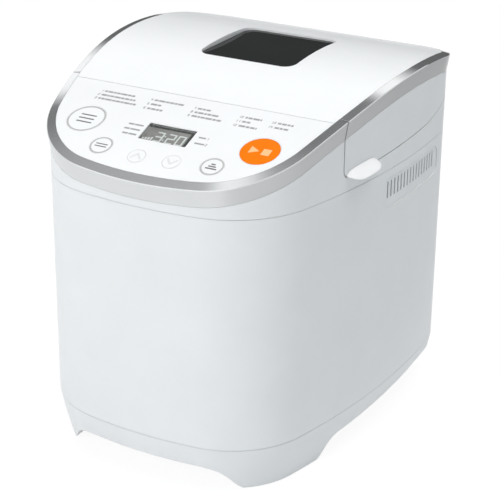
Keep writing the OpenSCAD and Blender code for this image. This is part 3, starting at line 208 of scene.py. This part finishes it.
LOOKS = {
    body_white: "base body_shell top_housing lid_shell lid_hinge_arms",
    lid_white: "lid_panel",
    gloss_white: "control_panel menu_key crust_key time_up_key time_down_key weight_key",
    tab_white_painted_light: "lift_tab",
    orange: "start_key",
    silver: "front_trim lid_trim",
    lens_clear: "display_lens",
    lcd_grey: "display_module",
    board: "panel_board power_board",
    black_plastic: "tact_switches drive_pulley motor_fan run_capacitor",
    rubber: "foot_pads window_gasket drive_belt cord_gland",
    silicone: "lid_seal",
    steel: "base_screws hinge_pins liner_screws oven_chamber pan_seat seat_springs heater_clips "
           "temperature_sensor drive_shaft drive_coupling motor_housing motor_shaft motor_pulley "
           "motor_bracket pan_bail pan_shaft pan_coupling",
    liner_steel: "lid_liner",
    dark_steel: "heating_element transformer",
    ceramic: "heater_terminals thermal_fuse terminal_block",
    brass: "bearing_bush pan_bush",
    cast_alu: "bearing_bracket",
    non_stick: "bread_pan kneading_paddle",
    relay_blue: "heater_relay",
    window_dark: "window_glass",
    pane_clear: "liner_glass",
}


def dress_nodes():
    for look, names in LOOKS.items():
        for name in names.split():
            data = nodes[name].data
            if not data.materials:
                data.materials.append(look)
            for slot in range(len(data.materials)):
                data.materials[slot] = look


dress_nodes()

# ================= Smooth shading of the curved faces that CAD makes in facets =================
SMOOTH_ANGLE = math.radians(24)
WELD = 0.002 * MM
FACETED = ("base top_housing lid_shell lid_panel control_panel front_trim lid_trim lift_tab "
           "menu_key crust_key time_up_key time_down_key weight_key start_key")


def smoothing_group():
    group = bpy.data.node_groups.new("smooth_facets", "GeometryNodeTree")
    group.interface.new_socket("Geometry", in_out="INPUT", socket_type="NodeSocketGeometry")
    group.interface.new_socket("Geometry", in_out="OUTPUT", socket_type="NodeSocketGeometry")
    make, link = group.nodes.new, group.links.new
    start = make("NodeGroupInput")
    drop = make("GeometryNodeRemoveAttribute")
    drop.inputs["Name"].default_value = "custom_normal"
    weld = make("GeometryNodeMergeByDistance")
    weld.inputs["Distance"].default_value = WELD
    smooth = make("GeometryNodeSetShadeSmooth")
    angle = make("GeometryNodeInputMeshEdgeAngle")
    sharp = make("FunctionNodeCompare")
    sharp.operation = "GREATER_THAN"
    sharp.inputs["B"].default_value = SMOOTH_ANGLE
    crease = make("GeometryNodeSetShadeSmooth")
    crease.domain = "EDGE"
    crease.inputs["Shade Smooth"].default_value = False
    end = make("NodeGroupOutput")
    link(start.outputs[0], drop.inputs["Geometry"])
    link(drop.outputs["Geometry"], weld.inputs["Geometry"])
    link(weld.outputs["Geometry"], smooth.inputs["Geometry"])
    link(smooth.outputs["Geometry"], crease.inputs["Geometry"])
    link(angle.outputs["Unsigned Angle"], sharp.inputs["A"])
    link(sharp.outputs["Result"], crease.inputs["Selection"])
    link(crease.outputs["Geometry"], end.inputs[0])
    return group


def smooth_nodes():
    group = smoothing_group()
    for name in FACETED.split():
        modifier = nodes[name].modifiers.new("smooth_facets", "NODES")
        modifier.node_group = group


smooth_nodes()

# ================= Prints on the arched top, in millimetres =================
PEAK_Y, TOP_Z = 47.0, 274.3
REAR_RADIUS, FRONT_RADIUS = 342.0, 526.0
JOIN_Y = -16.0            # where the top's two arcs meet
PANEL_MID_Y = -106.0
PRINT_LIFT, PRINT_THICK = 0.04, 0.06
RING_PARTS = 64

REAR_CENTRE = (PEAK_Y, TOP_Z - REAR_RADIUS)
_join_rise = math.sqrt(REAR_RADIUS ** 2 - (JOIN_Y - PEAK_Y) ** 2)
FRONT_CENTRE = (JOIN_Y - (JOIN_Y - PEAK_Y) * FRONT_RADIUS / REAR_RADIUS,
                REAR_CENTRE[1] + _join_rise * (1 - FRONT_RADIUS / REAR_RADIUS))
TILT = math.asin((FRONT_CENTRE[0] - PANEL_MID_Y) / FRONT_RADIUS)


def arch_z(y):
    centre, radius = (FRONT_CENTRE, FRONT_RADIUS) if y < JOIN_Y else (REAR_CENTRE, REAR_RADIUS)
    return centre[1] + math.sqrt(radius ** 2 - (y - centre[0]) ** 2)


def add_piece(name, verts, polys, look, body):
    """A piece of its own that moves with the named body. Its corners are in metres."""
    mesh = bpy.data.meshes.new(name)
    mesh.from_pydata(verts, [], polys)
    mesh.update()
    piece = bpy.data.objects.new(name, mesh)
    piece.data.materials.append(look)
    scene.collection.objects.link(piece)
    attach(piece, body)
    return piece


def prisms(faces, top, bottom):
    """Verts and polygons of upright prisms: top and bottom place a face's (x, y) corner."""
    verts, polys = [], []
    for face in faces:
        base, count = len(verts), len(face)
        for place in (top, bottom):
            verts.extend(place(x, y) for x, y in face)
        polys.append(tuple(range(base, base + count)))
        polys.append(tuple(range(base + 2 * count - 1, base + count - 1, -1)))
        for i in range(count):
            j = (i + 1) % count
            polys.append((base + j, base + i, base + count + i, base + count + j))
    return verts, polys


def print_on_top(name, faces, look, body="housing", lift=PRINT_LIFT, thick=PRINT_THICK):
    """Thin print that follows the arched top, lift above it."""
    def place(drop):
        return lambda x, y: (x * MM, y * MM, (arch_z(y) + lift - drop) * MM)
    return add_piece(name, *prisms(faces, place(0), place(thick)), look, body)


def ring(at, inner, outer):
    """Faces of a ring that is round when seen square to the tilted panel."""
    faces = []
    for i in range(RING_PARTS):
        a, b = 2 * math.pi * i / RING_PARTS, 2 * math.pi * (i + 1) / RING_PARTS
        corners = ((inner, a), (outer, a), (outer, b), (inner, b))
        faces.append([(at[0] + r * math.cos(t), at[1] + r * math.sin(t) * math.cos(TILT))
                      for r, t in corners])
    return faces


def bar(x0, x1, y, height):
    return [(x0, y - height / 2), (x1, y - height / 2), (x1, y + height / 2), (x0, y + height / 2)]


STROKE_PAST = 0.3         # how far a stretch of a line runs past its ends, in line widths


def stroke(points, width):
    """Faces of a line through the points, each stretch run on a little past its ends."""
    faces = []
    for (x0, y0), (x1, y1) in zip(points, points[1:]):
        length = math.hypot(x1 - x0, y1 - y0)
        ux, uy = (x1 - x0) / length * width, (y1 - y0) / length * width
        ax, ay = x0 - STROKE_PAST * ux, y0 - STROKE_PAST * uy
        bx, by = x1 + STROKE_PAST * ux, y1 + STROKE_PAST * uy
        faces.append([(ax - uy / 2, ay + ux / 2), (ax + uy / 2, ay - ux / 2),
                      (bx + uy / 2, by - ux / 2), (bx - uy / 2, by + ux / 2)])
    return faces


SEGMENTS = {"0": "abcdef", "1": "bc", "2": "abged", "3": "abgcd", "4": "fgbc", "5": "afgcd",
            "6": "afgedc", "7": "abc", "8": "abcdefg", "9": "gfabcd"}


def digit(character, x, y, width, height, line):
    """Seven-segment strokes of one digit whose lower left corner is (x, y)."""
    low, mid, high = y, y + height / 2, y + height
    right = x + width
    ends = {"a": ((x, high), (right, high)), "b": ((right, high), (right, mid)),
            "c": ((right, mid), (right, low)), "d": ((x, low), (right, low)),
            "e": ((x, mid), (x, low)), "f": ((x, high), (x, mid)), "g": ((x, mid), (right, mid))}
    return [face for s in SEGMENTS[character] for face in stroke(ends[s], line)]


KEY_AT = {"menu": (-67, -98), "crust": (-40.5, -119.5), "time_up": (-10, -122.5),
          "time_down": (16.5, -121.5), "weight": (46, -118.5), "start": (70, -97)}
KEY_RADIUS = {"menu": 14.0, "crust": 8.2, "time_up": 6.2, "time_down": 6.2, "weight": 8.2,
              "start": 13.8}
KEY_GAP = 0.35
RING_LINE, RING_INSET = 1.2, 0.03
SEAL_CLEAR, SEAL_LIFT, SEAL_THICK = 0.02, -0.03, 0.5


def add_key_rings():
    """A printed line round the rim of each key that has one."""
    for key in ("menu", "crust", "weight"):
        outer = KEY_RADIUS[key] - RING_INSET
        print_on_top(key + "_ring", ring(KEY_AT[key], outer - RING_LINE, outer), ring_ink,
                     key + "_key")


def add_key_seals():
    """Pale dust seals that lie in the gaps round the keys, just below the panel's face."""
    faces = []
    for key, at in KEY_AT.items():
        faces += ring(at, KEY_RADIUS[key] + SEAL_CLEAR, KEY_RADIUS[key] + KEY_GAP - SEAL_CLEAR)
    print_on_top("key_seals", faces, gloss_white, lift=SEAL_LIFT, thick=SEAL_THICK)


# Each bar symbol's line height, then its lines' places above the key's middle and half lengths
BAR_SYMBOLS = {"menu": (1.15, ((3.6, 6.2), (0.0, 6.2), (-3.6, 6.2))),
               "crust": (0.9, ((1.1, 4.6), (-1.1, 4.6))),
               "weight": (1.1, ((2.0, 1.6), (0.0, 2.9), (-2.0, 4.2)))}
CHEVRONS = {"time_up": ((-3.7, -2.0), (0, 2.0), (3.7, -2.0)),
            "time_down": ((-3.7, 2.0), (0, -2.0), (3.7, 2.0))}
CHEVRON_LINE = 1.4
PLAY_MARK = ((-7.6, -3.4), (-0.6, 0), (-7.6, 3.4))
STOP_MARK = ((1.6, -3.0), (7.6, -3.0), (7.6, 3.0), (1.6, 3.0))


def add_key_symbols():
    def around(key, corners):
        x0, y0 = KEY_AT[key]
        return [(x0 + x, y0 + y) for x, y in corners]

    for key, (height, lines) in BAR_SYMBOLS.items():
        x0, y0 = KEY_AT[key]
        bars = [bar(x0 - half, x0 + half, y0 + y, height) for y, half in lines]
        print_on_top(key + "_symbol", bars, ink, key + "_key")
    for key, corners in CHEVRONS.items():
        chevron = stroke(around(key, corners), CHEVRON_LINE)
        print_on_top(key + "_symbol", chevron, pale_ink, key + "_key")
    marks = [around("start", PLAY_MARK), around("start", STOP_MARK)]
    print_on_top("start_symbol", marks, orange_ink, "start_key")


# Programme list: each group's left edge, then its lines' heights and lengths
PROGRAMMES = ((-74.9, ((-66.5, 28), (-71.0, 31), (-75.3, 34))),
              (-33.4, ((-66.3, 27), (-71.3, 12), (-76.3, 15))),
              (1.9, ((-66.8, 13), (-71.2, 22), (-75.5, 26))),
              (37.5, ((-66.9, 17.5), (-71.7, 11), (-76.5, 18.5))),
              (62.3, ((-66.8, 16.5), (-71.8, 15))))
WORD_LENGTHS = (3.4, 2.2, 4.3, 1.8, 3.0, 5.0, 2.6)
WORD_GAP = 0.6
WORD_HEIGHT = 1.9
SHORTEST_WORD = 0.8
NUMBER_GAP = 0.8
SMALL_DIGIT = {"width": 1.05, "height": 2.0, "line": 0.45}
SMALL_DIGIT_STEP = 2.0


def add_programme_list():
    """A number and a row of plain bars for each programme."""
    faces, number = [], 0
    for left, lines in PROGRAMMES:
        for y, length in lines:
            number += 1
            x = left
            for character in str(number):
                faces += digit(character, x, y - SMALL_DIGIT["height"] / 2, **SMALL_DIGIT)
                x += SMALL_DIGIT_STEP
            x += NUMBER_GAP
            word = number
            while x < left + length - SHORTEST_WORD:
                width = min(WORD_LENGTHS[word % len(WORD_LENGTHS)], left + length - x)
                faces.append(bar(x, x + width, y, WORD_HEIGHT))
                x += width + WORD_GAP
                word += 1
    print_on_top("programme_list", faces, list_ink)


SHADE_MARKS = ((-94.8, -33.8), (-99.6, -34.6), (-104.3, -33.2))     # height and left end
SHADE_WORD, SHADE_END, SHADE_HEIGHT = 4.4, -22.0, 1.5
LOAF_MARKS = ((-95.3, 30.0), (-101.2, 32.0))                        # height and right end
LOAF_START, LOAF_HEIGHT = 22.3, 1.4
LOAF_DIGIT = {"width": 1.0, "height": 2.0, "line": 0.4}
LOAF_DIGIT_BACK, LOAF_BAR_BACK = 1.3, 2.2       # from the mark's right end


def add_display_marks():
    """Bars left of the display for the crust shades, and right of it for the loaf sizes."""
    faces = []
    for y, left in SHADE_MARKS:
        faces += [bar(left, left + SHADE_WORD, y, SHADE_HEIGHT),
                  bar(left + SHADE_WORD + WORD_GAP, SHADE_END, y, SHADE_HEIGHT)]
    for number, (y, right) in enumerate(LOAF_MARKS, start=1):
        faces.append(bar(LOAF_START, right - LOAF_BAR_BACK, y, LOAF_HEIGHT))
        faces += digit(str(number), right - LOAF_DIGIT_BACK, y - LOAF_DIGIT["height"] / 2,
                       **LOAF_DIGIT)
    print_on_top("display_marks", faces, list_ink)


# ================= Display, square to the tilted panel =================
DISPLAY_AT = (-0.5, -98.4)
DISPLAY_W, DISPLAY_D = 37.5, 18.0
DISPLAY_INSET = 0.3
SHEET_DEPTH, INK_DEPTH = 2.34, 2.28     # between the lens and the display's own glass
DISPLAY_PRINT_THICK = 0.02
# Widths of the dark band along the display's top and right edges: painted shade of the recess
PAINTED_SHADE_TOP, PAINTED_SHADE_RIGHT = 2.3, 3.4
TIME_DIGIT = {"width": 4.9, "height": 9.0, "line": 1.15}
TIME_AT = ((-8.4, -6.6), (0.8, -6.6), (8.4, -6.6))      # lower left corners of the three digits
TIME_SHOWN = "320"
COLON_X, COLON_Y, COLON_SIZE = (-2.4, -1.3), (-4.4, -0.6), 1.1
SIGNAL_BARS, SIGNAL_X, SIGNAL_WIDTH, SIGNAL_STEP = 4, -17.4, 1.3, 2.1
SIGNAL_Y, SIGNAL_HEIGHT, SIGNAL_GROWTH = -5.9, 1.4, 0.6


def on_display(u, v, w):
    """u across, v up the panel and w out of it, from the display's middle, in millimetres."""
    up, out = (math.cos(TILT), math.sin(TILT)), (-math.sin(TILT), math.cos(TILT))
    return Vector((DISPLAY_AT[0] + u, DISPLAY_AT[1] + v * up[0] + w * out[0],
                   arch_z(DISPLAY_AT[1]) + v * up[1] + w * out[1])) * MM


def print_on_display(name, faces, depth, look):
    def place(drop):
        return lambda u, v: on_display(u, v, -depth - drop)
    return add_piece(name, *prisms(faces, place(0), place(DISPLAY_PRINT_THICK)), look, "housing")


def add_display_prints():
    right, top = DISPLAY_W / 2 - DISPLAY_INSET, DISPLAY_D / 2 - DISPLAY_INSET
    sheet = [(-right, -top), (right, -top), (right, top), (-right, top)]
    print_on_display("display_sheet", [sheet], SHEET_DEPTH, lcd_pale)
    # A dark band along the top and right edges of the display: painted shade, where the recess
    # throws its shadow
    side, under = right - PAINTED_SHADE_RIGHT, top - PAINTED_SHADE_TOP
    shade_band = [[(-right, under), (right, under), (right, top), (-right, top)],
            [(side, -top), (right, -top), (right, under), (side, under)]]
    print_on_display("display_painted_shade", shade_band, INK_DEPTH, lcd_painted_shade)
    faces = []
    for character, (x, y) in zip(TIME_SHOWN, TIME_AT):
        faces += digit(character, x, y, **TIME_DIGIT)
    faces += [bar(*COLON_X, y, COLON_SIZE) for y in COLON_Y]
    for i in range(SIGNAL_BARS):
        x, growth = SIGNAL_X + i * SIGNAL_STEP, i * SIGNAL_GROWTH
        faces.append(bar(x, x + SIGNAL_WIDTH, SIGNAL_Y + growth / 2, SIGNAL_HEIGHT + growth))
    print_on_display("display_digits", faces, INK_DEPTH, segment)


# ================= Dark strips in the seam between the head and the lid: painted shade ===
SEAM_Y = (-50.45, -50.15)
SEAM_SECTIONS = (((110.75, 258.6), (108.95, 247.1), (107.1, 247.1), (105.1, 260.0)),
                 ((108.8, 247.1), (108.8, 226.5), (106.9, 226.5), (106.9, 247.1)))


def add_seam_lips():
    """Black rubber strips that stand in the seam at each side, set back from the silver and the
    white: painted shade, a dark sheet where the seam's shadow falls.
    """
    for name, side, (near, far) in (("right", 1, SEAM_Y[::-1]), ("left", -1, SEAM_Y)):
        def place(y):
            return lambda x, z: (side * x * MM, y * MM, z * MM)
        add_piece("seam_painted_shade_" + name, *prisms(SEAM_SECTIONS, place(near), place(far)), rubber,
                  "housing")


add_key_rings()
add_key_seals()
add_key_symbols()
add_programme_list()
add_display_marks()
add_display_prints()
add_seam_lips()

# ================= Floor, world, lamps and reflection cards =================
FLOOR_HALF = 12.0
FLOOR_DROP = 0.2 * MM
FLOOR_SHARE = 0.86        # how much of the floor's own white the camera and reflections see
FLOOR_WHITE = 1.07
FLOOR_COLOUR = (0.82, 0.83, 0.84, 1)
SKY_COLOUR, SKY_STRENGTH = (0.93, 0.97, 1.0, 1), 0.42
WHITE = (1, 1, 1, 1)


def seen_directly(tree):
    """1 for a ray from the camera, a reflection or glass, and 0 for the light's own bounces."""
    path = tree.nodes.new("ShaderNodeLightPath")
    value = path.outputs["Is Camera Ray"]
    for kind in ("Is Glossy Ray", "Is Transmission Ray"):
        either = tree.nodes.new("ShaderNodeMath")
        either.operation = "MAXIMUM"
        tree.links.new(value, either.inputs[0])
        tree.links.new(path.outputs[kind], either.inputs[1])
        value = either.outputs["Value"]
    return value


def add_floor():
    material = bpy.data.materials.new("floor")
    material.use_nodes = True
    tree = material.node_tree
    tree.nodes.clear()
    out = tree.nodes.new("ShaderNodeOutputMaterial")
    mix = tree.nodes.new("ShaderNodeMixShader")
    matt = tree.nodes.new("ShaderNodeBsdfDiffuse")
    matt.inputs["Color"].default_value = FLOOR_COLOUR
    white = tree.nodes.new("ShaderNodeEmission")
    white.inputs["Color"].default_value = WHITE
    white.inputs["Strength"].default_value = FLOOR_WHITE
    share = tree.nodes.new("ShaderNodeMath")
    share.operation = "MULTIPLY"
    share.inputs[1].default_value = FLOOR_SHARE
    tree.links.new(seen_directly(tree), share.inputs[0])
    tree.links.new(share.outputs["Value"], mix.inputs["Fac"])
    tree.links.new(matt.outputs["BSDF"], mix.inputs[1])
    tree.links.new(white.outputs["Emission"], mix.inputs[2])
    tree.links.new(mix.outputs["Shader"], out.inputs["Surface"])
    mesh = bpy.data.meshes.new("floor")
    s = FLOOR_HALF
    mesh.from_pydata([(-s, -s, 0), (s, -s, 0), (s, s, 0), (-s, s, 0)], [], [(0, 1, 2, 3)])
    floor = bpy.data.objects.new("floor", mesh)
    floor.data.materials.append(material)
    floor.location.z = -FLOOR_DROP
    scene.collection.objects.link(floor)


def add_world():
    world = bpy.data.worlds.new("world")
    scene.world = world
    world.use_nodes = True
    tree = world.node_tree
    tree.nodes.clear()
    out = tree.nodes.new("ShaderNodeOutputWorld")
    mix = tree.nodes.new("ShaderNodeMixShader")
    white = tree.nodes.new("ShaderNodeBackground")
    white.inputs["Color"].default_value = WHITE
    white.inputs["Strength"].default_value = 1.0
    soft = tree.nodes.new("ShaderNodeBackground")
    soft.inputs["Color"].default_value = SKY_COLOUR
    soft.inputs["Strength"].default_value = SKY_STRENGTH
    tree.links.new(seen_directly(tree), mix.inputs["Fac"])
    tree.links.new(soft.outputs["Background"], mix.inputs[1])
    tree.links.new(white.outputs["Background"], mix.inputs[2])
    tree.links.new(mix.outputs["Shader"], out.inputs["Surface"])


def add_lamp(name, at, aim, size, watts, colour=(1, 1, 1)):
    """A soft lamp that reflections don't see: they have the cards below."""
    data = bpy.data.lights.new(name, "AREA")
    data.shape = "RECTANGLE"
    data.size, data.size_y = size
    data.energy = watts
    data.color = colour
    lamp = bpy.data.objects.new(name, data)
    lamp.location = at
    lamp.rotation_mode = "QUATERNION"
    lamp.rotation_quaternion = (Vector(aim) - Vector(at)).to_track_quat("-Z", "Y")
    lamp.visible_glossy = False
    scene.collection.objects.link(lamp)


def rise(value, start, end):
    """Goes evenly from 0 at start to 1 at end, and stays there on either side."""
    return min(1, max(0, (value - start)/(end - start)))


def steps(start, end):
    """Places from start to end, about CARD_STEP apart."""
    count = max(1, round((end - start)/CARD_STEP))
    return [start + (end - start)*k/count for k in range(count + 1)]


def add_card(name, place, across, along, shade):
    """A grey card of the studio that only reflections see.

    place turns two places on the card, within across and along, into a point, and shade gives
    the grey there.
    """
    material = bpy.data.materials.new(name)
    material.use_nodes = True
    tree = material.node_tree
    tree.nodes.clear()
    out = tree.nodes.new("ShaderNodeOutputMaterial")
    glow = tree.nodes.new("ShaderNodeEmission")
    colour = tree.nodes.new("ShaderNodeVertexColor")
    colour.layer_name = "shade"
    tree.links.new(colour.outputs["Color"], glow.inputs["Color"])
    tree.links.new(glow.outputs["Emission"], out.inputs["Surface"])
    columns, rows = steps(*across), steps(*along)
    count = len(columns)
    spots = [(column, row) for row in rows for column in columns]
    polys = [(k, k + 1, k + 1 + count, k + count) for k in range(len(spots) - count)
             if (k + 1) % count]
    mesh = bpy.data.meshes.new(name)
    mesh.from_pydata([place(*spot) for spot in spots], [], polys)
    colours = mesh.color_attributes.new("shade", "FLOAT_COLOR", "POINT")
    for entry, spot in zip(colours.data, spots):
        entry.color = (*grey(shade(*spot)), 1)
    card = bpy.data.objects.new(name, mesh)
    card.data.materials.append(material)
    card.visible_camera = False
    card.visible_diffuse = False
    card.visible_transmission = False
    card.visible_volume_scatter = False
    card.visible_shadow = False
    scene.collection.objects.link(card)


# The four cards, in metres, with their shades
CARD_STEP = 0.05
BRIGHT = 1.3
BACK_Y, BACK_DIM, BACK_RISE = 3.0, 0.1, (1.65, 2.45)    # dark, and bright towards its top
FRONT_Y, FRONT_SHADE = -2.6, 1.25
LOW_Z, LOW_NEAR, LOW_FAR, LOW_FALL = 0.004, 0.82, 0.39, (-0.45, 0.9)
SKY_Z, SKY_DIM = 2.5, 0.18
WASH_X, WASH_Y = (-2.3, -1.0), (0.95, 0.25)             # the wash grows along both
WASH_LOW, WASH_HIGH, WASH_RIGHT = 0.12, 0.37, 0.27
BOX_X, BOX_EDGE_X, BOX_EDGE_Y, BOX_SHADE = -0.81, (0.22, 0.07), (0.66, 0.38), 0.7
REAR_X, REAR_Y, REAR_RISE = (-2.5, -0.9), (1.5, 1.9), 0.4   # its edge slants from left to right


def sky_shade(x, y):
    """A dim ceiling with a soft box, a wash beside the box, and a bright rear edge."""
    wash = WASH_LOW + (WASH_HIGH - WASH_LOW)*rise(x, *WASH_X) if x < BOX_X else WASH_RIGHT
    box = BOX_SHADE*rise(abs(x - BOX_X), *BOX_EDGE_X)*rise(y, *BOX_EDGE_Y)
    edge = REAR_Y[0] + (REAR_Y[1] - REAR_Y[0])*rise(x, *REAR_X)
    rear = (BRIGHT - SKY_DIM)*rise(y, edge, edge + REAR_RISE)
    return SKY_DIM + wash*rise(y, *WASH_Y) + box + rear


add_floor()
add_world()
add_lamp("key", (-0.7, -2.3, 1.35), (0, 0, 0.12), (1.6, 1.3), 33.5, (1.0, 0.995, 0.985))
add_lamp("top", (0.5, 0.4, 2.35), (0, 0, 0.2), (1.8, 1.8), 26.5)
add_lamp("side", (1.1, -0.3, 2.0), (0, 0, 0.2), (0.8, 0.8), 3)
add_card("back_card", lambda x, z: (x, BACK_Y, z), (-6.0, 1.2), (-0.4, 2.5),
         lambda x, z: BACK_DIM + (BRIGHT - BACK_DIM)*rise(z, *BACK_RISE))
add_card("sky_card", lambda x, y: (x, y, SKY_Z), (-3.4, 0.9), (-0.4, 3.0), sky_shade)
add_card("front_card", lambda x, z: (x, FRONT_Y, z), (-3.5, 0.8), (1.3, 3.2),
         lambda x, z: FRONT_SHADE)
add_card("floor_card", lambda x, y: (x, y, LOW_Z), (0.16, 1.9), (-0.45, 2.2),
         lambda x, y: LOW_NEAR + (LOW_FAR - LOW_NEAR)*rise(y, *LOW_FALL))
